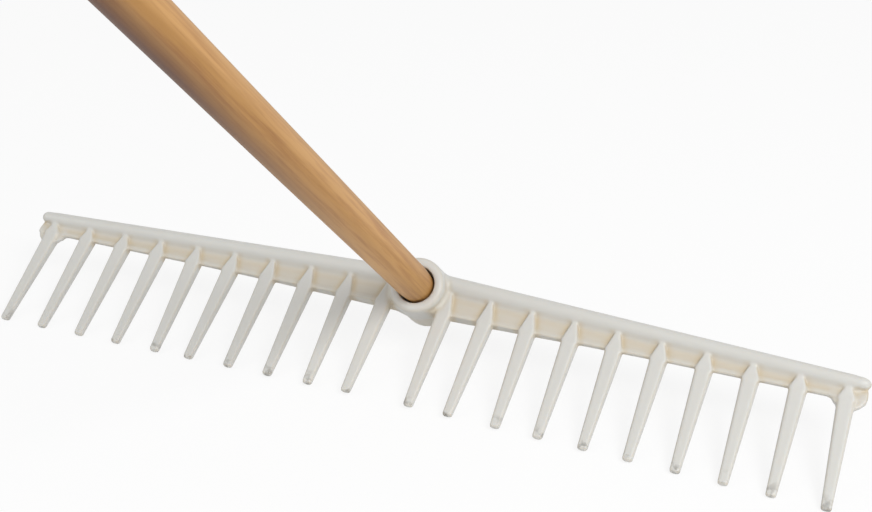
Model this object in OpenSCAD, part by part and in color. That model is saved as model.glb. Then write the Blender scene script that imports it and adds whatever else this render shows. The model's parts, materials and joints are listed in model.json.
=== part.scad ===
/* [Working pose] */
// Angle of the handle above level ground
handle_raise = 45; // [20:1:70]
// Angle between the handle and the tines
tine_angle = 70.7; // [60:0.1:90]

/* [Handle] */
// Overall length of the wooden handle
handle_length = 1500; // [900:10:1900]
// Diameter of the handle
handle_d = 28; // [26:0.5:34]
// Diameter of the tenon that fits the socket
tenon_d = 26; // [16:0.5:26]
// Length of the slope from the handle down to the tenon
taper_length = 28; // [10:1:60]
// Rounding of the handle's free end
handle_end_r = 7; // [2:0.5:9]

/* [Socket] */
// Height of the handle's axis above the tines' roots
axis_height = 19.3; // [14:0.1:24]
// Outer diameter of the socket
socket_d = 45; // [42:0.5:56]
// Length of the socket along the handle
socket_length = 45.5; // [40:0.5:60]
// Distance of the socket's mouth in front of the bar's centre, along the handle
socket_front = 19; // [14:0.5:26]
// Rounding of the socket's mouth
socket_round = 2.3; // [0.5:0.1:3]
// Radial clearance between the handle and the socket's mouth
mouth_clearance = 1; // [0.5:0.1:3]
// Depth of the wide mouth
mouth_depth = 11; // [6:0.5:16]
// Length of the slope from the mouth down to the tenon's bore
throat_length = 4; // [1:0.5:8]
// Radial clearance between the tenon and its bore
tenon_clearance = 0.1; // [0.05:0.05:0.5]
// Distance of the tenon's end from the socket's back
tenon_recess = 1; // [0:0.5:6]

/* [Bar] */
// Distance from the outer tine's centre to the bar's end
end_overhang = 15; // [11:0.1:24]
// Height of the bar beside the socket
bar_height_centre = 34; // [26:0.5:44]
// Height of the bar at its ends
bar_height_end = 18; // [14:0.5:26]
// Radius of the bead beside the socket
bead_r_centre = 7; // [5:0.1:9]
// Radius of the bead at the bar's ends
bead_r_end = 4.8; // [3:0.1:6]
// Distance of the bead's centre line in front of the tines' centre plane
bead_forward = 5.5; // [3:0.1:8]
// Distance of the web's face in front of the tines' centre plane
web_forward = 3.5; // [2:0.1:5]
// Thickness of the web
web_thickness = 2.8; // [2:0.1:5]
// Height of the flange along the web's lower edge
flange_height = 3.2; // [2:0.1:6]
// Depth of the flange beside the socket
flange_depth_centre = 10.4; // [5:0.1:13]
// Distance from the middle of the bar to where the flange runs out into the web
flange_reach = 185; // [60:1:300]
// Radius of the hollow under the bead
cove_r = 4; // [2:0.5:5]
// Radius of the lobe around each outer tine's root
lobe_r = 13; // [9:0.1:16]
// Height of the lobe's centre above the tines' roots
lobe_centre_height = 3.4; // [0:0.1:6]
// Thickness of the lobe
lobe_thickness = 4; // [3:0.1:6]

/* [Tines] */
// Tines on each side of the socket
tines_per_side = 10; // [6:1:12]
// Distance between the centres of neighbouring tines
tine_pitch = 34; // [26:0.5:44]
// Distance between the centres of the two middle tines
centre_gap = 50.6; // [48:0.1:70]
// Length of the outer tines below the bar
tine_length_end = 88; // [60:1:120]
// Length of the middle tines below the bar, which wear most
tine_length_centre = 82; // [60:1:120]
// Width of a tine at its root
tine_root_width = 12.9; // [8:0.1:16]
// Width of a tine at its tip
tine_tip_width = 7.4; // [6:0.1:10]
// Distance of a tine's front face at the root from its centre plane
tine_root_front = 5.5; // [4:0.1:8]
// Distance of a tine's back face at the root from its centre plane
tine_root_back = 3.5; // [2:0.1:6]
// Length over which a tine keeps the full section of its root
tine_root_straight = 1; // [0.5:0.1:6]
// Thickness of a tine at its tip
tine_tip_thickness = 5; // [3:0.1:6]
// Rounding of a tine's front corners at the root
tine_front_r = 3; // [1:0.1:4]
// Rounding of a tine's back corners at the root
tine_back_r = 1.5; // [0.5:0.1:2]
// Width of the gusset at the height of the bead's centre line
gusset_tip_width = 1; // [0.6:0.1:4]
// Distance of the gusset's face in front of the bead's centre line, at the bead's centre height
gusset_lean = 3; // [1:0.1:3]
// Thickness of the rib behind each tine
back_rib_thickness = 3; // [2:0.1:6]

/* [Fixing screw] */
// Diameter of the screw's shank
screw_d = 4; // [3:0.5:5]
// Diameter of the screw's head
screw_head_d = 8.4; // [6:0.1:10]
// Height of the screw's domed head
screw_head_height = 2.6; // [1.5:0.1:4]
// Depth of the shank in the tenon
screw_bite = 9; // [5:0.5:11]
// Distance of the screw from the socket's back
screw_from_back = 11; // [6:0.5:18]
// Radial clearance around the shank and the head
screw_clearance = 0.1; // [0.05:0.05:0.3]
// Depth of the flat seat under the screw's head
screw_seat_depth = 1; // [0.6:0.1:2]
// Width of the slots in the screw's head
slot_width = 1; // [0.6:0.1:1.4]
// Length of the slots in the screw's head
slot_length = 5.6; // [4:0.1:5.8]
// Depth of the slots in the screw's head
slot_depth = 1.3; // [0.8:0.1:1.4]

/* [Hidden] */
tine_count = 2 * tines_per_side;

plastic = [0.86, 0.85, 0.81];
wood = [0.77, 0.6, 0.38];
steel = [0.62, 0.63, 0.65];

// Facets of the turned forms, and of the forms inside hulls
round_fn = 72;
hull_fn = 32;
tine_fn = 16;
// Length by which cutting tools run past what they cut
past = 1;
// Depth by which joined forms of one moulding enter one another
sink = 0.3;

// The head is built with its tines upright in the plane y = 0, and their roots at z = 0.
// The handle leaves it forward and down, by this angle below level
handle_drop = 90 - tine_angle;
// Turning the head back by this angle brings the handle to its working angle
head_turn = handle_raise + handle_drop;

outer_tine_x = centre_gap / 2 + (tines_per_side - 1) * tine_pitch;
half_width = outer_tine_x + end_overhang;
bead_end_x = half_width - bead_r_end;
bead_z_centre = bar_height_centre - bead_r_centre;
bead_z_end = bar_height_end - bead_r_end;
web_back = web_thickness - web_forward;
flange_back_centre = flange_depth_centre - web_forward;
lobe_back = lobe_thickness - web_forward;

socket_back = socket_length - socket_front;
handle_start = tenon_recess - socket_back;
handle_end = handle_start + handle_length;
bore_d = tenon_d + 2 * tenon_clearance;
mouth_d = handle_d + 2 * mouth_clearance;
taper_start = socket_front - mouth_depth;
bore_front = taper_start - throat_length;
screw_place = screw_from_back - socket_back;
screw_seat = socket_d / 2 - screw_seat_depth;
screw_end = tenon_d / 2 - screw_bite;

tip_r = tine_tip_thickness / 2;
// The outer tines touch the ground, and the middle of their line of tips is the model's origin
tip_centre = tip_r - tine_length_end;
origin_y = -tip_centre * sin(head_turn);
origin_z = tip_r - tip_centre * cos(head_turn);

function tine_name(i) = str("tine_", i < 10 ? "0" : "", i);
function side_of(i) = i > tines_per_side ? 1 : -1;
// Place of a tine in its side's row, counted from the socket
function rank_of(i) = i > tines_per_side ? i - tines_per_side - 1 : tines_per_side - i;
function tine_x(i) = side_of(i) * (centre_gap / 2 + rank_of(i) * tine_pitch);
// Tines shorten in a straight line from the bar's ends to its middle
function tine_length(x) = tine_length_centre
    + (tine_length_end - tine_length_centre) * abs(x) / outer_tine_x;
function bead_z(x) = bead_z_centre + (bead_z_end - bead_z_centre) * abs(x) / bead_end_x;
function bead_r(x) = bead_r_centre + (bead_r_end - bead_r_centre) * abs(x) / bead_end_x;
// Points of an arc, from angle a to angle b
function arc(cx, cy, r, a, b, steps = 8) =
    [for (k = [0:steps]) [cx + r * cos(a + (b - a) * k / steps), cy + r * sin(a + (b - a) * k / steps)]];

// Stands the head in its working pose on the ground
module in_working_pose() {
    translate([0, origin_y, origin_z])
        rotate([-head_turn, 0, 0])
            children();
}

// Turns a form built along +Z onto the handle's axis, with its +Y side up
module on_handle_axis() {
    translate([0, 0, axis_height])
        rotate([90 + handle_drop, 0, 0])
            children();
}

// An upright cylinder from one height to another
module axis_cylinder(d, from, to) {
    translate([0, 0, from])
        cylinder(d = d, h = to - from, $fn = round_fn);
}

// The socket's outer form, which also trims what meets it
module socket_body(extra = 0) {
    on_handle_axis()
        axis_cylinder(socket_d, -socket_back - extra, socket_front + extra);
}

// Gives an outline in x and z a depth from front to back
module front_extrude(y_front, y_back) {
    translate([0, y_back, 0])
        rotate([90, 0, 0])
            linear_extrude(y_back - y_front)
                children();
}

// A slab of the given outline in y and z, of the given thickness about x
module side_slab(x, thickness, points) {
    translate([x - thickness / 2, 0, 0])
        rotate([90, 0, 90])
            linear_extrude(thickness)
                polygon(points);
}

// The bead slopes down from the socket and thins towards its rounded end
module bead() {
    hull() {
        translate([0, -bead_forward, bead_z_centre])
            rotate([0, 90, 0])
                cylinder(r = bead_r_centre, h = sink, $fn = hull_fn);
        translate([bead_end_x, -bead_forward, bead_z_end])
            rotate([0, 90, 0])
                sphere(r = bead_r_end, $fn = hull_fn);
    }
}

// Fills the corner between the bead and the web, and leaves a hollow curve
module cove() {
    rise = bead_z_end - bead_r_end - bead_z_centre + bead_r_centre;
    run = norm([bead_end_x, rise]);
    translate([0, sink - web_forward, bead_z_centre - bead_r_centre])
        rotate([0, -atan2(rise, bead_end_x), 0])
            rotate([90, 0, 90])
                linear_extrude(run)
                    polygon(concat(
                        [[0, bead_r_end], [-cove_r, bead_r_end]],
                        arc(-cove_r, -cove_r, cove_r, 90, 0)
                    ));
}

// Outline of the web: its top follows the bead's centre line, and it stands straight at the bar's end
module web_outline() {
    polygon([
        [0, 0], [outer_tine_x + lobe_r, 0], [outer_tine_x + lobe_r, bead_z(outer_tine_x + lobe_r)],
        [0, bead_z_centre]
    ]);
}

module web() {
    front_extrude(-web_forward, web_back)
        web_outline();
}

// The flange is deepest beside the socket and runs out into the web
module flange() {
    linear_extrude(flange_height)
        polygon([
            [0, sink - web_forward],
            [flange_reach, sink - web_forward],
            [flange_reach, web_back - sink],
            [0, flange_back_centre]
        ]);
}

// A rounded plate around each outer tine's root, in two parts that meet at the height of the roots
module lobe(upper) {
    front_extrude(sink - web_forward, lobe_back)
        intersection() {
            translate([outer_tine_x, lobe_centre_height])
                circle(r = lobe_r, $fn = round_fn);
            translate([outer_tine_x - lobe_r, upper ? 0 : -2 * lobe_r])
                square(2 * lobe_r);
        }
}

// A pointed gusset in front of the web, as wide as the tine at its foot
module gusset(x) {
    top = bead_z(x);
    intersection() {
        front_extrude(-bead_forward - gusset_lean, sink - web_forward)
            polygon([
                [x - tine_root_width / 2, 0], [x + tine_root_width / 2, 0],
                [x + gusset_tip_width / 2, top], [x - gusset_tip_width / 2, top]
            ]);
        side_slab(x, tine_root_width, [
            [-tine_root_front, 0], [0, 0], [0, top], [-bead_forward - gusset_lean, top]
        ]);
    }
}

// A rib behind the web, which carries the tine's back face up to the bead
module back_rib(x) {
    side_slab(x, back_rib_thickness, [
        [sink - web_forward, 0], [tine_root_back, 0], [web_back + sink, bead_z(x)], [-bead_forward, bead_z(x)]
    ]);
}

module bar_arm() {
    difference() {
        union() {
            bead();
            cove();
            web();
            flange();
            lobe(true);
            for (k = [0:tines_per_side - 1]) {
                gusset(centre_gap / 2 + k * tine_pitch);
                back_rib(centre_gap / 2 + k * tine_pitch);
            }
        }
        socket_body(socket_d);
    }
}

module bar_arm_left() {
    color(plastic)
        in_working_pose()
            mirror([1, 0, 0])
                bar_arm();
}

module bar_arm_right() {
    color(plastic)
        in_working_pose()
            bar_arm();
}

// Half outline of the socket, turned about the handle's axis
module socket_profile() {
    polygon(concat(
        [[bore_d / 2, -socket_back], [socket_d / 2, -socket_back]],
        arc(socket_d / 2 - socket_round, socket_front - socket_round, socket_round, 0, 90),
        [[mouth_d / 2, socket_front], [mouth_d / 2, taper_start], [bore_d / 2, bore_front]]
    ));
}

// Turns a form built along +Z onto the screw's line, which crosses the handle's axis
module on_screw_line() {
    translate([0, 0, screw_place])
        rotate([-90, 0, 0])
            children();
}

module screw_hole(from, to) {
    on_screw_line()
        axis_cylinder(screw_d + 2 * screw_clearance, from, to);
}

module handle_socket() {
    color(plastic)
        in_working_pose()
            on_handle_axis()
                difference() {
                    rotate_extrude($fn = round_fn)
                        socket_profile();
                    screw_hole(0, socket_d);
                    on_screw_line()
                        axis_cylinder(screw_head_d + 2 * screw_clearance, screw_seat, socket_d);
                }
}

// Half outline of the handle, turned about its own axis
module handle_profile() {
    r = handle_d / 2;
    polygon(concat(
        [[0, handle_start], [tenon_d / 2, handle_start], [tenon_d / 2, taper_start]],
        [[r, taper_start + taper_length]],
        arc(r - handle_end_r, handle_end - handle_end_r, handle_end_r, 0, 90),
        [[0, handle_end]]
    ));
}

module handle() {
    color(wood)
        in_working_pose()
            on_handle_axis()
                difference() {
                    rotate_extrude($fn = round_fn)
                        handle_profile();
                    screw_hole(screw_end - screw_clearance, handle_d);
                }
}

module fixing_screw() {
    dome_r = (pow(screw_head_d / 2, 2) + pow(screw_head_height, 2)) / (2 * screw_head_height);
    head_top = screw_seat + screw_head_height;
    color(steel)
        in_working_pose()
            on_handle_axis()
                on_screw_line()
                    difference() {
                        union() {
                            axis_cylinder(screw_d, screw_end, screw_seat + past);
                            intersection() {
                                translate([0, 0, head_top - dome_r])
                                    sphere(r = dome_r, $fn = round_fn);
                                axis_cylinder(screw_head_d, screw_seat, head_top);
                            }
                        }
                        for (turn = [0, 90])
                            rotate([0, 0, turn])
                                translate([-slot_length / 2, -slot_width / 2, head_top - slot_depth])
                                    cube([slot_length, slot_width, slot_depth + past]);
                    }
}

// Outline of a tine's root: wide corners in front, small ones at the back
module tine_root_outline() {
    hull()
        for (side = [-1, 1]) {
            translate([side * (tine_root_width / 2 - tine_front_r), tine_front_r - tine_root_front])
                circle(r = tine_front_r, $fn = hull_fn);
            translate([side * (tine_root_width / 2 - tine_back_r), tine_root_back - tine_back_r])
                circle(r = tine_back_r, $fn = tine_fn);
        }
}

// A tine keeps its full section for a short way, then narrows in width and thickness to a rounded tip
module tine_shaft(x) {
    hull() {
        translate([x, 0, -tine_root_straight])
            linear_extrude(tine_root_straight)
                tine_root_outline();
        for (side = [-1, 1])
            translate([x + side * (tine_tip_width / 2 - tip_r), 0, tip_r - tine_length(x)])
                rotate([0, 90, 0])
                    sphere(r = tip_r, $fn = tine_fn);
    }
}

module tine(i) {
    color(plastic)
        in_working_pose()
            difference() {
                union() {
                    tine_shaft(tine_x(i));
                    if (rank_of(i) == tines_per_side - 1)
                        mirror([side_of(i) < 0 ? 1 : 0, 0, 0])
                            lobe(false);
                }
                socket_body();
            }
}

bar_arm_left();
bar_arm_right();
handle_socket();
handle();
fixing_screw();
for (i = [1:tine_count])
    tine(i);
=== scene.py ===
# %% [markdown]
# # A plastic rake with a wooden handle
# The rake is a white moulding on a turned stick, held by one hidden screw. The solid model already has every size, so
# it is loaded first and never moved. What is made here lies exactly over it and brings what the solids can't carry:
# soft moulded corners, tines that each lean a little their own way, grain and wear.

# %% Load the solid model
import json
import math
import bpy
import numpy as np
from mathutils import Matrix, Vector


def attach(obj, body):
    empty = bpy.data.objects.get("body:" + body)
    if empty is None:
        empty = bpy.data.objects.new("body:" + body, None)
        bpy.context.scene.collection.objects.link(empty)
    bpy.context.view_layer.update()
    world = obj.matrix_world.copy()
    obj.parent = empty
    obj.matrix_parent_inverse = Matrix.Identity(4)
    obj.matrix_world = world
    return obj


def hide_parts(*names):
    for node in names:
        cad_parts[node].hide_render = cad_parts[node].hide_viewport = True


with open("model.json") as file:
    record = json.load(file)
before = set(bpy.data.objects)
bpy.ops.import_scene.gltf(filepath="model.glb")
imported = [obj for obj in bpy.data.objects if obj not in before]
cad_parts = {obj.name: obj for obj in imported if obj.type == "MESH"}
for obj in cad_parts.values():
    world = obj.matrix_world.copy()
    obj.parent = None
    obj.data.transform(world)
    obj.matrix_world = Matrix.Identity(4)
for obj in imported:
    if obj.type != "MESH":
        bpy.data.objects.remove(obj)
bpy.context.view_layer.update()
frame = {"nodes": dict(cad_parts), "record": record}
mm = 0.001

# %% [markdown]
# ## The camera
# The photograph was taken from above and a little to the right, so that the handle comes towards the viewer and
# leaves the picture. A camera is a place, a heading, a tilt and a lens, and this one is level, as the horizon of such
# a photograph is. It could be moved about until the picture looks right. Here its numbers come from a fit to points
# measured on the photograph: the tips, the ends of the bar, the socket's ring and the handle's edges.

# %% Camera
camera_place = Vector((0.3763, -0.8282, 0.6458))
camera_heading = math.radians(21.55)
camera_tilt = math.radians(29.62)
camera_data = bpy.data.cameras.new("photo_camera")
camera_data.sensor_fit = "HORIZONTAL"
camera_data.sensor_width = 36.0
camera_data.lens = 60.93
camera_data.clip_start = 0.02
camera = bpy.data.objects.new("photo_camera", camera_data)
bpy.context.scene.collection.objects.link(camera)
camera.location = camera_place
camera.rotation_euler = (math.pi / 2 - camera_tilt, 0.0, camera_heading)
bpy.context.scene.camera = camera
print("camera looks down by", round(math.degrees(camera_tilt), 2), "degrees")

# %% [markdown]
# ## The head, stood upright
# On the ground the head leans back, which makes every formula long. So it is worked out upright, in millimetres: x
# along the bar, y from front to back, z up, and the roots of the tines at z = 0. One last step turns it back about x
# and sets it on the ground.

# %% Driving sizes of the head
tines_per_side = 10
tine_pitch = 34.0
centre_gap = 50.6
end_overhang = 15.0
tine_length_end, tine_length_centre = 88.0, 82.0
tine_tip_thickness = 5.0
axis_height = 19.3
handle_drop = math.radians(19.3)
head_turn = math.radians(64.3)
outer_tine_x = centre_gap / 2 + (tines_per_side - 1) * tine_pitch
half_width = outer_tine_x + end_overhang
print("the head is", 2 * half_width, "mm wide")

# %% Stand the head on the ground
tip_centre = tine_tip_thickness / 2 - tine_length_end
ground_y = -tip_centre * math.sin(head_turn)
ground_z = tine_tip_thickness / 2 - tip_centre * math.cos(head_turn)


def on_ground(points):
    """Points of the upright head in their working place, in metres: turned about x by head_turn, then shifted."""
    x, y, z = points.T
    turned_y = y * math.cos(head_turn) + z * math.sin(head_turn) + ground_y
    turned_z = z * math.cos(head_turn) - y * math.sin(head_turn) + ground_z
    return np.stack([x, turned_y, turned_z], axis=1) * mm


print("the roots' centre line goes to", np.round(on_ground(np.zeros((1, 3)))[0], 4))

# %% [markdown]
# ## The moulding as a field
# A moulding has no seams: bead, web, gussets, tines and socket melt into one another. Lofted pieces, each a grid of
# two parameters, would leave a hard line wherever two of them cross, and a boolean leaves that line too. So the
# plastic is written as a field, a function of x, y and z that is negative inside the plastic and positive outside.
# Its value is close to the distance from the surface. Two forms are joined by a smooth minimum, which rolls a fillet
# into their corner, as the mould maker's cutter does.

# %% Ways to combine forms
def join(a, b, fillet):
    """Smooth minimum: the smaller of two values, less (fillet - |a - b|)^2 / (4 fillet) where they are that close."""
    near = np.maximum(fillet - np.abs(a - b), 0.0)
    return np.minimum(a, b) - near * near / (4.0 * fillet)


def both(a, b, edge):
    """Smooth maximum: what lies in both forms, with the edge between them rounded by about the given size."""
    return -join(-a, -b, edge)


def slab(v, low, high):
    """Distance to the layer between two heights: |v - middle| - half thickness."""
    return np.abs(v - (low + high) / 2.0) - (high - low) / 2.0


def between(start, end, t):
    """The value a share t of the way from start to end, in a straight line."""
    return start + (end - start) * t


print("a 4 mm fillet fills a corner by", -join(np.zeros(1), np.zeros(1), 4.0)[0], "mm")

# %% [markdown]
# ## The bead
# The bead is the round rod along the top of the bar, which keeps the thin web from bending. It is thickest beside the
# socket, thins towards the ends and drops in a straight line. A swept circle would do, but as a field it is just the
# distance from that line less the radius. Its two ends are domes, and the right one is drawn out longer.

# %% The bead's form
bead_y = -5.5
bead_z_centre, bead_z_end = 27.0, 13.2
bead_r_centre, bead_r_end = 7.0, 4.8
dome_stretch_left, dome_stretch_right = 1.2, 1.7


def bead_line(x):
    """Height and radius of the bead at x: both change in a straight line from the middle to the end."""
    t = np.clip(np.abs(x) / (half_width - bead_r_end), 0.0, 1.0)
    return between(bead_z_centre, bead_z_end, t), between(bead_r_centre, bead_r_end, t)


def bead_field(x, y, z):
    """Distance from the sloping centre line less the radius; past its end, x counts 1 / stretch as much."""
    stretch = np.where(x > 0, dome_stretch_right, dome_stretch_left)
    end = half_width - stretch * bead_r_end
    past = np.maximum(np.abs(x) - end, 0.0) / stretch
    height, radius = bead_line(np.minimum(np.abs(x), end))
    return np.sqrt(past ** 2 + (y - bead_y) ** 2 + (z - height) ** 2) - radius


print("the bead drops by", bead_z_centre - bead_z_end, "mm to each end")

# %% [markdown]
# ## Web, flange and cove
# The web hangs from the bead. Along its foot a low flange stiffens it, deep beside the socket and gone a little past
# half way out. Between bead and web the mould leaves a hollow curve, the cove, which here is simply a large fillet.
# It fades near the bar's ends, because a fillet between two forms that end side by side would swell past them.

# %% The bar's form
web_front, web_back = -3.5, -0.7
web_end = half_width - 2.4
flange_back, flange_reach, flange_height = 6.9, 185.0, 3.2
edge_round = 1.2
foot_fillet = 1.5
cove_fillet, cove_least_share = 7.0, 0.05
cove_stop, cove_fade = half_width - 4.0, 8.0


def web_field(x, y, z):
    """An upright layer from the bead's line down to the roots, cut off short of the bead's end."""
    height, _ = bead_line(x)
    plate = both(slab(y, web_front, web_back), slab(z, 0.0, height), edge_round)
    return both(plate, np.abs(x) - web_end, edge_round)


def flange_field(x, y, z):
    """A low layer along the web's foot, whose back edge runs in a straight line into the web."""
    back = between(web_back, flange_back, np.clip(1.0 - np.abs(x) / flange_reach, 0.0, 1.0))
    layer = both(slab(y, web_front, back), slab(z, 0.0, flange_height), edge_round)
    return both(layer, np.abs(x) - web_end, edge_round)


def bar_field(x, y, z):
    """Web and flange joined by a small fillet, then joined to the bead by the cove."""
    cove = cove_fillet * np.clip((cove_stop - np.abs(x)) / cove_fade, cove_least_share, 1.0)
    return join(bead_field(x, y, z), join(web_field(x, y, z), flange_field(x, y, z), foot_fillet), cove)


print("the web is", round(web_back - web_front, 2), "mm thick")

# %% [markdown]
# ## Which tine is nearest
# Twenty tines could be twenty copies. It is shorter to make one and to replace x by the distance to the nearest
# tine's middle. A tine that has pulled through soil for years no longer stands quite straight, and each leans its own
# way. A short list of leans, read by the tine's number, brings that in.

# %% Places, lengths and leans of the tines
tine_lean = np.array([0.5, 1.4, 2.4, 2.5, 4.0, 0.2, 1.0, 1.0, 1.1, -0.9,
                      -0.2, -2.6, 0.8, -0.4, -0.3, -0.9, -0.5, -0.4, -1.0, 2.6])


def nearest_tine(x):
    """Number from 0 and middle of the tine nearest to x: the rounded count of pitches from the socket."""
    rank = np.clip(np.rint((np.abs(x) - centre_gap / 2) / tine_pitch), 0, tines_per_side - 1)
    middle = np.where(x > 0, 1.0, -1.0) * (centre_gap / 2 + rank * tine_pitch)
    number = np.where(x > 0, tines_per_side + rank, tines_per_side - 1 - rank).astype(int)
    return number, middle


def tine_length(middle):
    """Tines shorten in a straight line from the bar's ends to its middle, where they wear most."""
    return between(tine_length_centre, tine_length_end, np.abs(middle) / outer_tine_x)


print(len(tine_lean), "tines, leaning by up to", np.abs(tine_lean).max(), "mm")

# %% [markdown]
# ## A tine
# A tine tapers in width and in thickness, so that it comes out of the mould and bends evenly. Its front is broad and
# nearly flat with rounded corners, and its tip is blunt. Width, front and back face are straight lines in the depth
# below the root.

# %% The tines' form
tine_half_root, tine_half_tip = 6.45, 3.7
tine_front_root, tine_front_tip = -5.5, -2.5
tine_back_root, tine_back_tip = 3.5, 2.5
corner_root, corner_tip = 3.4, 2.2
tine_top = 3.0
tip_edge = 2.6


def tine_field(x, y, z):
    """What lies within the tapering width, between the front and back faces, and between the tip and the root."""
    number, middle = nearest_tine(x)
    t = np.clip(-z / tine_length(middle), 0.0, 1.0)
    across = np.abs(x - middle - tine_lean[number] * t) - between(tine_half_root, tine_half_tip, t)
    through = slab(y, between(tine_front_root, tine_front_tip, t), between(tine_back_root, tine_back_tip, t))
    sides = both(across, through, between(corner_root, corner_tip, t))
    return both(sides, slab(z, -tine_length(middle), tine_top), tip_edge)


print("a tine is", 2 * tine_half_root, "mm wide at its root and", 2 * tine_half_tip, "mm at its tip")

# %% [markdown]
# ## Gussets and ribs
# In front, each tine runs up over the web and narrows to a point under the bead, like a spear. This gusset carries
# the pull into the bar. Behind, a thin rib does the same. Both are wedges whose faces are straight lines in the
# height above the root.

# %% The gussets' and the ribs' forms
gusset_half_top, gusset_front_top, gusset_back = 0.4, -8.1, -2.0
gusset_slant = 0.96
gusset_foot, gusset_corner, gusset_end = -3.0, 2.2, 1.0
rib_half, rib_foot, rib_front = 1.5, -2.0, -2.0
rib_back_top = web_back + 0.3
rib_edge, rib_corner = 1.0, 1.2


def gusset_field(x, y, z):
    """A wedge in front of the web. Its slanted sides are scaled by about the cosine of their slant."""
    _, middle = nearest_tine(x)
    height, _ = bead_line(middle)
    t = np.clip(z / height, 0.0, 1.0)
    across = (np.abs(x - middle) - between(tine_half_root, gusset_half_top, t)) * gusset_slant
    through = np.maximum(between(tine_front_root, gusset_front_top, t) - y, y - gusset_back)
    return both(both(across, through, gusset_corner), slab(z, gusset_foot, height), gusset_end)


def rib_field(x, y, z):
    """An upright layer behind the web, whose back edge runs from the tine's back face up into the web."""
    _, middle = nearest_tine(x)
    height, _ = bead_line(middle)
    back = between(tine_back_root, rib_back_top, np.clip(z / height, 0.0, 1.0))
    profile = both(slab(y, rib_front, tine_back_root), y - back, rib_edge)
    return both(np.abs(x - middle) - rib_half, profile, rib_corner) + np.maximum(slab(z, rib_foot, height), 0.0)


print("the ribs are", 2 * rib_half, "mm thick")

# %% [markdown]
# ## End lobes
# The outermost tines take knocks from the side, so the web grows there into a rounded lobe around the root. It is a
# disc, cut to the web's thickness. On the right end it sits a little further out and higher.

# %% The lobes' form
lobe_r, lobe_z, lobe_back = 13.0, 3.4, 0.5
right_lobe_shift = 1.3


def lobe_field(x, y, z):
    """Distance from the disc's axis less its radius, within the layer of the web."""
    shift = np.where(x > 0, right_lobe_shift, 0.0)
    disc = np.hypot(np.abs(x) - outer_tine_x - shift, z - lobe_z - shift) - lobe_r
    return both(disc, slab(y, web_front, lobe_back), edge_round)


print("the lobes reach", outer_tine_x + lobe_r, "mm from the middle")

# %% [markdown]
# ## Socket and bore
# The socket is a tube on the handle's axis, which leaves the head forward and a little down. The photograph shows its
# mouth as a flat bright ring with a rounded lip. Inside, the mouth is wide enough for the full handle, then slopes
# down to the tenon's bore. In a field, drilling a hole is keeping what lies outside it.

# %% The socket's form and its bore
socket_r, socket_front, socket_back = 22.5, 19.0, -26.5
socket_lip, socket_back_edge = 5.0, 1.5
mouth_r, mouth_floor = 15.0, 8.0
bore_r, bore_front = 13.1, 4.0


def along_handle(x, y, z):
    """Distance along the handle's axis from the bar's centre, and distance from that axis."""
    c, s = math.cos(handle_drop), math.sin(handle_drop)
    along = -y * c - (z - axis_height) * s
    above = -y * s + (z - axis_height) * c
    return along, np.hypot(x, above)


def socket_field(x, y, z):
    """Distance from the axis less the radius, between the mouth and the back, with a rounded lip at the mouth."""
    along, out = along_handle(x, y, z)
    return both(both(out - socket_r, along - socket_front, socket_lip), socket_back - along, socket_back_edge)


def bore_field(x, y, z):
    """Distance from the axis less the bore's radius, which grows in a straight line into the wide mouth."""
    along, out = along_handle(x, y, z)
    t = np.clip((along - bore_front) / (mouth_floor - bore_front), 0.0, 1.0)
    return out - between(bore_r, mouth_r, t)


print("the ring is", socket_r - mouth_r, "mm broad")

# %% [markdown]
# ## The whole moulding
# The forms are now joined from small to large. Each joint has its own fillet: hardly any between a tine and its
# gusset, which are one face, and a generous one where the bar runs into the socket.

# %% The head's field
lobe_fillet, rib_fillet, tine_fillet, root_fillet, socket_fillet, bore_edge = 2.0, 0.5, 0.4, 1.2, 4.0, 1.0


def head_field(points):
    """All forms of the moulding joined with their fillets, less the bore."""
    x, y, z = points
    bar = join(bar_field(x, y, z), lobe_field(x, y, z), lobe_fillet)
    backing = join(gusset_field(x, y, z), rib_field(x, y, z), rib_fillet)
    teeth = join(tine_field(x, y, z), backing, tine_fillet)
    head = join(join(bar, teeth, root_fillet), socket_field(x, y, z), socket_fillet)
    return both(head, -bore_field(x, y, z), bore_edge)


probe_x = 100.0
probe = np.array([[0.0, probe_x], [0.0, bead_y], [axis_height, bead_line(probe_x)[0]]])
print("in the bore and in the middle of the bead the field is", np.round(head_field(probe), 2))

# %% [markdown]
# ## From the field to a net of quads
# A field has no faces yet. It is sampled on a box of cells. A cell whose corners lie on both sides of the surface
# gets one point, the mean of the places where its edges cross the surface. Around each crossed edge lie four cells,
# and their four points make one quad. Blender's own voxel remesh does the same with cubes of one size. Here the cells
# may be long where the shape is plain, which keeps the net small.

# %% Points of the net
slope_step = 0.05
settle_rounds, settle_limit, least_slope = 2, 0.12, 0.4
corners = [(a, b, c) for a in (0, 1) for b in (0, 1) for c in (0, 1)]


def corner(array, offset):
    """One corner's value for all cells at once: the array shifted by the corner's offset."""
    return array[..., offset[0]:array.shape[-3] - 1 + offset[0], offset[1]:array.shape[-2] - 1 + offset[1],
                 offset[2]:array.shape[-1] - 1 + offset[2]]


def slope(field, points):
    """The field's gradient: the difference across each point, over twice the step."""
    out = np.empty_like(points)
    for axis in range(3):
        shift = np.zeros((3, 1))
        shift[axis] = slope_step
        out[axis] = (field(points + shift) - field(points - shift)) / (2 * slope_step)
    return out


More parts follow.
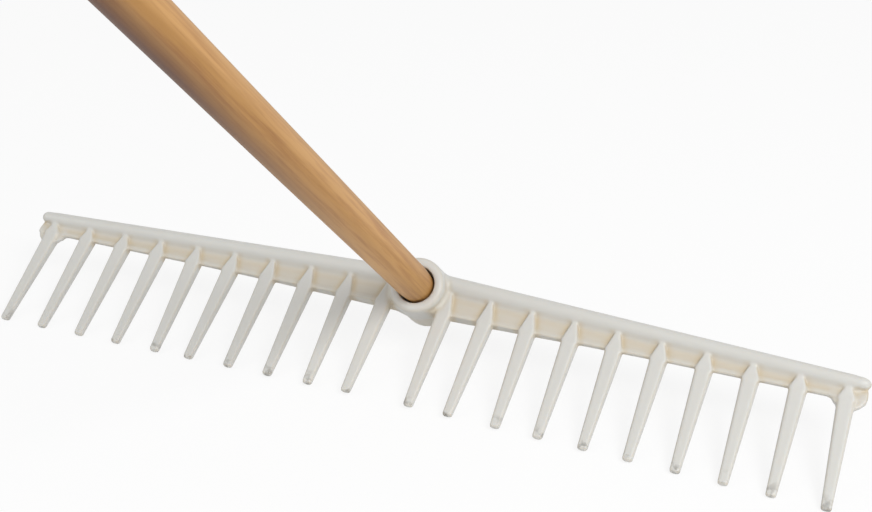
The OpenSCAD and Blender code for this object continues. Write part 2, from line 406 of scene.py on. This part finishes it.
def net_cells(values, grid):
    """The cells on the surface, and in each the mean of its edges' crossings, found by straight lines."""
    crossings = np.zeros((3, *(n - 1 for n in values.shape)))
    count = np.zeros(crossings.shape[1:])
    for axis in range(3):
        for start in (c for c in corners if c[axis] == 0):
            end = tuple(1 if k == axis else step for k, step in enumerate(start))
            value_a, value_b = corner(values, start), corner(values, end)
            crossed = (value_a < 0) != (value_b < 0)
            t = np.where(crossed, value_a / np.where(crossed, value_a - value_b, 1.0), 0.0)
            place_a, place_b = corner(grid, start), corner(grid, end)
            crossings += np.where(crossed, between(place_a, place_b, t), 0.0)
            count += crossed
    active = count > 0
    return active, crossings[:, active] / count[active]


def settle(field, points):
    """Move points down the slope by value * gradient / gradient squared, a short way at most, onto the surface."""
    for _ in range(settle_rounds):
        g = slope(field, points)
        move = field(points) * g / np.maximum((g * g).sum(axis=0), least_slope)
        points = points - np.clip(move, -settle_limit, settle_limit)
    return points


print("a cell has", len(corners), "corners")

# %% [markdown]
# ## Quads of the net
# A quad must face outwards, or it shades black. The edge that it surrounds tells which way that is: if the field is
# negative at the edge's start, the surface there faces along the edge, and otherwise the quad is turned round.

# %% Quads of the net
def edge_quads(inside, number):
    """For each crossed edge the points of its four cells, in an order that faces from inside to outside."""
    quads = []
    for axis in range(3):
        u, v = (axis + 1) % 3, (axis + 2) % 3
        low = [slice(1, n - 1) for n in inside.shape]
        high = list(low)
        low[axis], high[axis] = slice(0, -1), slice(1, None)
        leaving = inside[tuple(low)]
        place = np.argwhere(leaving != inside[tuple(high)])
        leaves = leaving[tuple(place.T)]
        ring = []
        for du, dv in ((0, 0), (1, 0), (1, 1), (0, 1)):
            cell = place.copy()
            cell[:, u] += du
            cell[:, v] += dv
            ring.append(number[tuple(cell.T)])
        ring = np.stack(ring, axis=1)
        ring[~leaves] = ring[~leaves][:, ::-1]
        quads.append(ring)
    return np.concatenate(quads)


def surface_net(field, xs, ys, zs):
    """Points and quads of the surface where the field is zero, on cells between the given positions."""
    grid = np.stack(np.meshgrid(xs, ys, zs, indexing="ij"))
    values = field(grid)
    active, points = net_cells(values, grid)
    number = np.full(active.shape, -1)
    number[active] = np.arange(active.sum())
    return settle(field, points).T, edge_quads(values < 0.0, number)


print("the net is ready to be cast")

# %% [markdown]
# ## Cells for this head
# Between two tines nothing changes along the bar, so the cells there are 3 mm long, and 1 mm at each tine. The tines
# are long and straight, so their cells are tall too, and short only at the roots and the tips.

# %% Cells of the head
tine_zone = 7.6
fine_x, coarse_x, socket_x = 1.0, 3.0, 1.3
socket_zone, end_room = 17.0, 1.5


def steps(stops, sizes):
    """Positions that pass through the stops, evenly spaced between each two at about the given size."""
    parts = [np.linspace(a, b, max(1, round((b - a) / s)), endpoint=False)
             for a, b, s in zip(stops[:-1], stops[1:], sizes)]
    return np.concatenate(parts + [[stops[-1]]])


tine_middles = [centre_gap / 2 + rank * tine_pitch for rank in range(tines_per_side)]
right_stops = [0.0, socket_zone] + [m + side for m in tine_middles for side in (-tine_zone, tine_zone)]
right_sizes = [socket_x] + [coarse_x, fine_x] * tines_per_side + [fine_x]
right = steps(right_stops + [half_width + end_room], right_sizes)
cells_x = np.concatenate([-right[:0:-1], right])
cells_y = steps([-27.5, -14.0, 8.0, 35.0], [1.5, 0.9, 1.6])
cells_z = steps([-90.0, -77.0, -8.0, 36.0, 51.5], [0.9, 2.6, 0.95, 1.5])
print("cells", len(cells_x), "by", len(cells_y), "by", len(cells_z))

# %% [markdown]
# ## Casting the net
# The head is now one call. Every point is moved onto the surface itself, so cells about as long as the edge
# roundings are enough here. The smallest fillets are shorter than a cell and show only as a slightly soft corner.

# %% Cast the net over the head
net_points, net_quads = surface_net(head_field, cells_x, cells_y, cells_z)
print("net of", len(net_points), "points and", len(net_quads), "quads")

# %% [markdown]
# ## What the material needs to know
# The plastic's colour is painted darker and warmer in the corners, as painted shade with some dirt, and behind and
# under the bead, as painted shade. It greys at the tips with wear. The shape knows where that is, so three masks are
# measured on the net and kept on its points. A corner is found by stepping 5 mm away from the surface: on a plain
# face the field then reads 5, and in a corner less.

# %% Masks on the head
recess_reach = 5.0
root_fade_start, root_fade = -2.0, 4.0
behind_start, behind_fade = -5.0, 1.5
net_slope = slope(head_field, net_points.T)
net_slope /= np.linalg.norm(net_slope, axis=0)
room = head_field(net_points.T + recess_reach * net_slope) / recess_reach
# Corner mask: where it is high, the plastic is later painted darker and warmer, as painted shade in the corners with
# some dirt.
corner_shade_and_dirt = np.clip(1.0 - room, 0.0, 1.0)
above_root = np.clip((net_points[:, 2] - root_fade_start) / root_fade, 0.0, 1.0)
# Mask behind the bead: the web and everything behind it are later painted darker and warmer, as painted shade under
# and behind the bead.
behind_bead_shade = np.clip((net_points[:, 1] - behind_start) / behind_fade, 0.0, 1.0) * above_root
_, own_middle = nearest_tine(net_points[:, 0])
along_tine = np.clip(-net_points[:, 2] / tine_length(own_middle), 0.0, 1.0)
print("mean recess", round(float(corner_shade_and_dirt.mean()), 3))

# %% [markdown]
# ## From arrays to a mesh
# from_pydata takes whole lists of points and faces, and foreach_set fills a mask in one call. Both are far quicker
# than touching one vertex after another.

# %% The head's mesh
def new_piece(name, points, faces, masks=None):
    """A smooth-shaded mesh object at the origin, with each mask as a number on every point."""
    mesh = bpy.data.meshes.new(name)
    mesh.from_pydata(points.tolist(), [], faces)
    mesh.shade_smooth()
    for key, values in (masks or {}).items():
        layer = mesh.attributes.new(key, "FLOAT", "POINT")
        layer.data.foreach_set("value", np.asarray(values, dtype=np.float32))
    mesh.validate()
    piece = bpy.data.objects.new(name, mesh)
    bpy.context.scene.collection.objects.link(piece)
    print(name, "has", len(points), "points and", len(faces), "faces")
    return piece


head = new_piece("rake_head", on_ground(net_points), net_quads.tolist(),
                 {"corner_shade_and_dirt": corner_shade_and_dirt, "along_tine": along_tine, "behind_bead_shade": behind_bead_shade})

# %% [markdown]
# ## The handle's profile
# The handle is turned, so it is one profile carried round an axis: the tenon in the socket, a slope, the long stick
# and a rounded free end. Its radius and its axis are read from the solid model's grip.

# %% The handle's profile
grip = next(m for m in frame["record"]["mounts"] if m["name"] == "grip")
handle_axis = Vector(grip["axis"]).normalized()
handle_r = grip["dims"]["r_mm"]
handle_foot = on_ground(np.array([[0.0, 0.0, axis_height]]))[0]
handle_length = 1500.0
tenon_start, slope_start, slope_end = -25.5, 8.0, 36.0
tenon_r, end_round = 13.0, 7.0
handle_end = tenon_start + handle_length


def handle_radius(e):
    """Radius at distance e along the axis: a soft step from tenon to stick, and a quarter circle at the end."""
    t = np.clip((e - slope_start) / (slope_end - slope_start), 0.0, 1.0)
    r = between(tenon_r, handle_r, 3 * t * t - 2 * t ** 3)
    past = np.clip(e - (handle_end - end_round), 0.0, end_round)
    return r - end_round + np.sqrt(np.maximum(end_round ** 2 - past ** 2, 0.0))


print("radius at the mouth", round(float(handle_radius(np.array(socket_front))), 2), "mm")

# %% [markdown]
# ## The handle's surface
# The surface is a function of two parameters, the distance along the axis and the angle round it. A tenth of a
# millimetre of slow waviness, as a turning tool leaves it, keeps the edges from looking drawn. It fades out at the
# slope and at the free end.

# %% The handle's grid
around, dome_rings = 96, 12
wave_height, wave_length, wave_start, wave_twist, wave_fade = 0.10, 83.0, 1.7, 0.6, 30.0
angles = np.linspace(0.0, 2 * math.pi, around, endpoint=False)
dome = handle_end - end_round + end_round * np.sin(np.linspace(0, math.pi / 2, dome_rings))
stations = np.concatenate([steps([tenon_start, 0.0, 60.0, handle_end - end_round], [6.0, 1.5, 8.0])[:-1], dome])
e = stations[:, None]
wave = wave_height * np.sin(e / wave_length + wave_start) * np.cos(2 * angles + wave_twist)
wave *= np.clip((e - slope_end) / wave_fade, 0.0, 1.0) * np.clip((handle_end - e) / wave_fade, 0.0, 1.0)
shell = handle_radius(e) + wave
print("grid of", len(stations), "rings by", around, "points")

# %% Put the handle's grid on its axis
side = Vector((1.0, 0.0, 0.0))
basis = np.array([side, handle_axis.cross(side), handle_axis])
ring_points = np.stack([shell * np.cos(angles), shell * np.sin(angles), np.broadcast_to(e, shell.shape)], axis=2)
end_points = np.array([[0, 0, tenon_start], [0, 0, handle_end]])
handle_points = np.concatenate([ring_points.reshape(-1, 3), end_points]) @ basis * mm + handle_foot
print("the handle ends at", np.round(handle_points[-1], 3))

# %% [markdown]
# ## The handle's faces
# Each point of a ring makes a quad with the next point and the two above them. Both ends are closed with a fan of
# triangles around a middle point, which stays flat, where one face with 96 corners could shade in patches.

# %% The handle's faces
ring, column = np.meshgrid(np.arange(len(stations) - 1), np.arange(around), indexing="ij")
following = (column + 1) % around
walls = np.stack([ring * around + column, ring * around + following,
                  (ring + 1) * around + following, (ring + 1) * around + column], axis=2).reshape(-1, 4)
first_ring = np.arange(around)
last_ring = (len(stations) - 1) * around + first_ring
tenon_middle, end_middle = len(handle_points) - 2, len(handle_points) - 1
tenon_fan = np.stack([np.full(around, tenon_middle), np.roll(first_ring, -1), first_ring], axis=1)
end_fan = np.stack([np.full(around, end_middle), last_ring, np.roll(last_ring, -1)], axis=1)
handle = new_piece("wooden_handle", handle_points, walls.tolist() + tenon_fan.tolist() + end_fan.tolist())

# %% [markdown]
# ## Helpers for materials
# A material is a small tree of nodes. Built by hand, each node takes four lines. These helpers add one node each and
# return its output, so a finish can be read from top to bottom. Colours are written as the eye reads them, in six hex
# digits, and turned into linear light.

# %% Helpers for materials
def colour(hex_text):
    """Linear red, green, blue and one from six hex digits, by the sRGB curve."""
    parts = [int(hex_text[i:i + 2], 16) / 255 for i in (0, 2, 4)]
    return [p / 12.92 if p <= 0.04045 else ((p + 0.055) / 1.055) ** 2.4 for p in parts] + [1.0]


def node(tree, kind, settings=None, **inputs):
    """Add a node, set its properties, and link or set its inputs by name; in_3 means the input numbered 3."""
    made = tree.nodes.new(kind)
    for key, value in (settings or {}).items():
        setattr(made, key, value)
    for key, value in inputs.items():
        socket = made.inputs[int(key[3:])] if key.startswith("in_") else made.inputs[key]
        if isinstance(value, bpy.types.NodeSocket):
            tree.links.new(value, socket)
        else:
            socket.default_value = value
    return made


def noise(tree, place, scale, detail, roughness=0.5):
    """Cloudy values from 0 to 1, with about as many clouds to the metre as the scale says."""
    made = node(tree, "ShaderNodeTexNoise", Vector=place, Scale=scale, Detail=detail, Roughness=roughness)
    return made.outputs["Fac"]


def spread(tree, value, low, high, start=0.0, end=1.0):
    """The range from low to high stretched over start to end, and held there outside it."""
    return node(tree, "ShaderNodeMapRange", in_0=value, in_1=low, in_2=high, in_3=start, in_4=end).outputs[0]


def maths(tree, operation, *values, clamp=False):
    """One step of arithmetic on two or three values."""
    inputs = {f"in_{i}": value for i, value in enumerate(values)}
    return node(tree, "ShaderNodeMath", {"operation": operation, "use_clamp": clamp}, **inputs).outputs[0]


def mixed(tree, share, first, second, kind="MIX"):
    """The first colour with the given share of the second."""
    settings = {"data_type": "RGBA", "blend_type": kind}
    return node(tree, "ShaderNodeMix", settings, in_0=share, in_6=first, in_7=second).outputs[2]


def empty_material(name):
    """A new material, its empty tree and its output node."""
    material = bpy.data.materials.new(name)
    material.use_nodes = True
    material.node_tree.nodes.clear()
    return material, material.node_tree, node(material.node_tree, "ShaderNodeOutputMaterial")


def solid_material(name):
    """A material with one Principled shader, its tree, and Object coordinates to paint by."""
    material, tree, output = empty_material(name)
    shader = node(tree, "ShaderNodeBsdfPrincipled")
    tree.links.new(shader.outputs[0], output.inputs[0])
    return material, tree, shader, node(tree, "ShaderNodeTexCoord").outputs["Object"]


print("mid grey 808080 is", round(colour("808080")[0], 3), "in linear light")

# %% [markdown]
# ## White moulded plastic
# The rake is an off-white plastic with a satin skin. Its colour is painted darker and warmer in the corners, as
# painted shade with some dirt, and behind and under the bead, as painted shade. It is scuffed grey at the tips. A
# flat colour with one roughness would look like paint. So the three masks of the head mix in the painted shade, the
# dirt and the grey wear, a slow cloud varies the roughness, and a fine bump breaks up the highlights. A little light
# spreads under the skin, as it does in real plastic.

# %% Colour of the plastic
plastic, tree, plastic_shader, place = solid_material("white_moulded_plastic")
mask = {name: node(tree, "ShaderNodeAttribute", {"attribute_name": name}).outputs["Fac"]
        for name in ("corner_shade_and_dirt", "behind_bead_shade", "along_tine")}
scuffs = noise(tree, place, scale=160.0, detail=4.0)
# Painted shade with some dirt: the corners turn towards the tan colour.
corner_shade_and_dirt_tint = spread(tree, mask["corner_shade_and_dirt"], 0.1, 0.6, end=0.55)
# Painted shade: the web and everything behind the bead also turn towards the tan colour.
shade_and_dirt_tint = maths(tree, "ADD", corner_shade_and_dirt_tint, maths(tree, "MULTIPLY", mask["behind_bead_shade"], 0.38), clamp=True)
# C0AF90 is the tan of the painted shade, with some dirt in the corners.
clean = mixed(tree, shade_and_dirt_tint, colour("CBCAC5"), colour("C0AF90"))
tip = spread(tree, mask["along_tine"], 0.86, 1.0)
wear = maths(tree, "MULTIPLY", tip, spread(tree, scuffs, 0.52, 0.66, end=0.8))
tree.links.new(mixed(tree, wear, clean, colour("77746E")), plastic_shader.inputs["Base Color"])
print("plastic has", len(mask), "masks")

# %% Skin of the plastic
satin = spread(tree, noise(tree, place, scale=18.0, detail=3.0), 0.3, 0.7, start=0.36, end=0.46)
tree.links.new(satin, plastic_shader.inputs["Roughness"])
skin = node(tree, "ShaderNodeBump", Height=scuffs, Strength=0.12, Distance=0.0004)
tree.links.new(skin.outputs[0], plastic_shader.inputs["Normal"])
plastic_shader.inputs["Subsurface Weight"].default_value = 0.12
plastic_shader.inputs["Subsurface Radius"].default_value = (0.004, 0.003, 0.002)
plastic_shader.inputs["Subsurface Scale"].default_value = 0.5
print("plastic's tree has", len(tree.nodes), "nodes")

# %% [markdown]
# ## Turned wood
# The stick shows long streaks of grain, light and dark bands, and a dark brown along its left side that grows towards
# the hands. That brown is partly painted shade, on the side turned away from the key lamp, and partly a stain.
# Streaks are noise stretched along the stick. For that, the coordinates are first turned by 45 degrees about x, so
# that z runs along the handle, and then z is scaled down.

# %% Grain of the wood
wood, tree, wood_shader, place = solid_material("turned_wood")
along_scale = 0.035
handle_angle = math.atan2(handle_axis.z, -handle_axis.y)
turned = node(tree, "ShaderNodeMapping", Vector=place, Rotation=(handle_angle - math.pi / 2, 0.0, 0.0)).outputs[0]
long_way = node(tree, "ShaderNodeMapping", Vector=turned, Scale=(1.0, 1.0, along_scale)).outputs[0]
streaks = noise(tree, long_way, scale=320.0, detail=5.0, roughness=0.6)
bands = noise(tree, long_way, scale=70.0, detail=3.0)
banded = mixed(tree, spread(tree, bands, 0.3, 0.7), colour("A8793C"), colour("CC9D62"))
grained = mixed(tree, spread(tree, streaks, 0.45, 0.75, end=0.55), banded, colour("A8743E"), kind="MULTIPLY")
print("the grain runs at", round(math.degrees(handle_angle), 1), "degrees to the ground")

# %% [markdown]
# ## Painted shade and stain on the wood
# The dark brown along the left side is partly painted shade, on the side turned away from the key lamp, and partly a
# stain. It has a ragged edge along the stick. A plain ramp across the wood would give a ruled line. So the bands of
# the grain are added to the ramp before it is cut, and the edge wanders with them.

# %% Painted shade and stain on the wood
dark_side_x, dark_side_y = -37.0, -61.0
axis_offset = 6.14
turned_axes = node(tree, "ShaderNodeSeparateXYZ", Vector=turned).outputs
# A ramp across the stick towards its left side, where the dark brown is painted: partly painted shade away from the
# key lamp, partly a stain.
to_left = maths(tree, "MULTIPLY_ADD", turned_axes[1], dark_side_y,
                maths(tree, "MULTIPLY_ADD", turned_axes[0], dark_side_x, axis_offset))
left_shade_and_stain = spread(tree, maths(tree, "ADD", bands, to_left), 0.35, 1.35)
upper_part = spread(tree, turned_axes[2], 0.08, 0.42)
# 5F3206 is the dark brown of the painted shade and stain on the left side.
shaded_and_stained = mixed(tree, maths(tree, "MULTIPLY", left_shade_and_stain, upper_part), grained, colour("5F3206"))
tree.links.new(shaded_and_stained, wood_shader.inputs["Base Color"])
wood_shader.inputs["Roughness"].default_value = 0.5
pores = node(tree, "ShaderNodeBump", Height=streaks, Strength=0.2, Distance=0.0003)
tree.links.new(pores.outputs[0], wood_shader.inputs["Normal"])
print("wood's tree has", len(tree.nodes), "nodes")

# %% [markdown]
# ## Zinc-plated steel
# The one screw behind the socket has a thin zinc plating, bright but cloudy. One noise varies both its colour and its
# roughness.

# %% Steel of the screw
steel, tree, steel_shader, place = solid_material("zinc_plated_steel")
steel_shader.inputs["Metallic"].default_value = 1.0
tarnish = noise(tree, place, scale=900.0, detail=4.0)
tree.links.new(mixed(tree, tarnish, colour("9A9B9C"), colour("C4C5C6")), steel_shader.inputs["Base Color"])
tree.links.new(spread(tree, tarnish, 0.0, 1.0, start=0.28, end=0.45), steel_shader.inputs["Roughness"])
print("steel's tree has", len(tree.nodes), "nodes")

# %% [markdown]
# ## Dress the rake
# Each piece gets its material, and the head and the handle are tied to the body they belong to. The rake has no
# joints, so that body is the root. The moulding stands for the arms, the socket and all tines, and the new handle for
# the plain one. The screw keeps its solid, which already has its domed head and its cross slots.

# %% Dress the rake
head.data.materials.append(plastic)
handle.data.materials.append(wood)
screw = frame["nodes"]["fixing_screw"]
screw.data.materials.clear()
screw.data.materials.append(steel)
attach(head, "root")
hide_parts("bar_arm_left", "bar_arm_right", "handle_socket",
            *[f"tine_{i:02d}" for i in range(1, 2 * tines_per_side + 1)])
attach(handle, "root")
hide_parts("handle")
print("dressed", head.name, "and", handle.name)

# %% [markdown]
# ## Floor
# The photograph's ground is plain white. More light would bleach the rake too. Instead the floor glows white for the
# camera's rays and for rays that come off a gloss, and stays matt for all others. It keeps a seventh of its own
# shading, so that the rake's shadow stays on it.

# %% Floor
floor_extent, floor_grey, floor_glow = 40.0, 0.86, 0.86


def seen_rays(tree):
    """One for rays from the camera, off a gloss or through glass, and else zero: the largest of three marks."""
    path = node(tree, "ShaderNodeLightPath").outputs
    glossy = maths(tree, "MAXIMUM", path["Is Camera Ray"], path["Is Glossy Ray"])
    return maths(tree, "MAXIMUM", glossy, path["Is Transmission Ray"])


pale, tree, output = empty_material("pale_floor")
matt = node(tree, "ShaderNodeBsdfDiffuse", Color=(floor_grey, floor_grey, floor_grey, 1.0))
white = node(tree, "ShaderNodeEmission", Strength=1.0)
glow = maths(tree, "MULTIPLY", seen_rays(tree), floor_glow)
shown = node(tree, "ShaderNodeMixShader", in_0=glow, in_1=matt.outputs[0], in_2=white.outputs[0])
tree.links.new(shown.outputs[0], output.inputs[0])
floor_corners = floor_extent * np.array([[-1, -1, 0], [1, -1, 0], [1, 1, 0], [-1, 1, 0]])
floor = new_piece("floor", floor_corners, [(0, 1, 2, 3)])
floor.data.materials.append(pale)

# %% [markdown]
# ## Light
# A pale room lights the rake from all sides at half strength. A soft lamp on the right models the forms, and a larger
# and weaker one on the left lifts the shadows. The world, too, is plain white where the camera sees it.

# %% World
room_strength = 0.5
world = bpy.data.worlds.new("studio")
bpy.context.scene.world = world
world.use_nodes = True
tree = world.node_tree
tree.nodes.clear()
room_light = node(tree, "ShaderNodeBackground", Color=(1.0, 1.0, 1.0, 1.0), Strength=room_strength)
backdrop = node(tree, "ShaderNodeBackground", Color=(1.0, 1.0, 1.0, 1.0), Strength=1.0)
sky = node(tree, "ShaderNodeMixShader", in_0=seen_rays(tree), in_1=room_light.outputs[0], in_2=backdrop.outputs[0])
node(tree, "ShaderNodeOutputWorld", Surface=sky.outputs[0])
print("room light at", room_strength)

# %% [markdown]
# ## Lamps
# A point lamp throws hard shadows, which the photograph doesn't have. An area lamp is a glowing square, and the
# larger it is, the softer its shadow. Both lamps are turned towards the middle of the head.

# %% Lamps
lamp_aim = Vector((0.0, 0.0, 0.05))


def soft_lamp(name, place, size, power):
    """A square area lamp that points from its place to the middle of the head."""
    data = bpy.data.lights.new(name, "AREA")
    data.shape = "SQUARE"
    data.size = size
    data.energy = power
    lamp = bpy.data.objects.new(name, data)
    bpy.context.scene.collection.objects.link(lamp)
    lamp.location = place
    lamp.rotation_euler = (lamp_aim - Vector(place)).to_track_quat("-Z", "Y").to_euler()
    print(name, power, "W")


soft_lamp("key_lamp", (1.5, -0.9, 1.9), 1.2, 42.0)
soft_lamp("fill_lamp", (-1.6, -1.2, 1.3), 1.6, 8.0)
bpy.context.scene.view_settings.view_transform = "Standard"
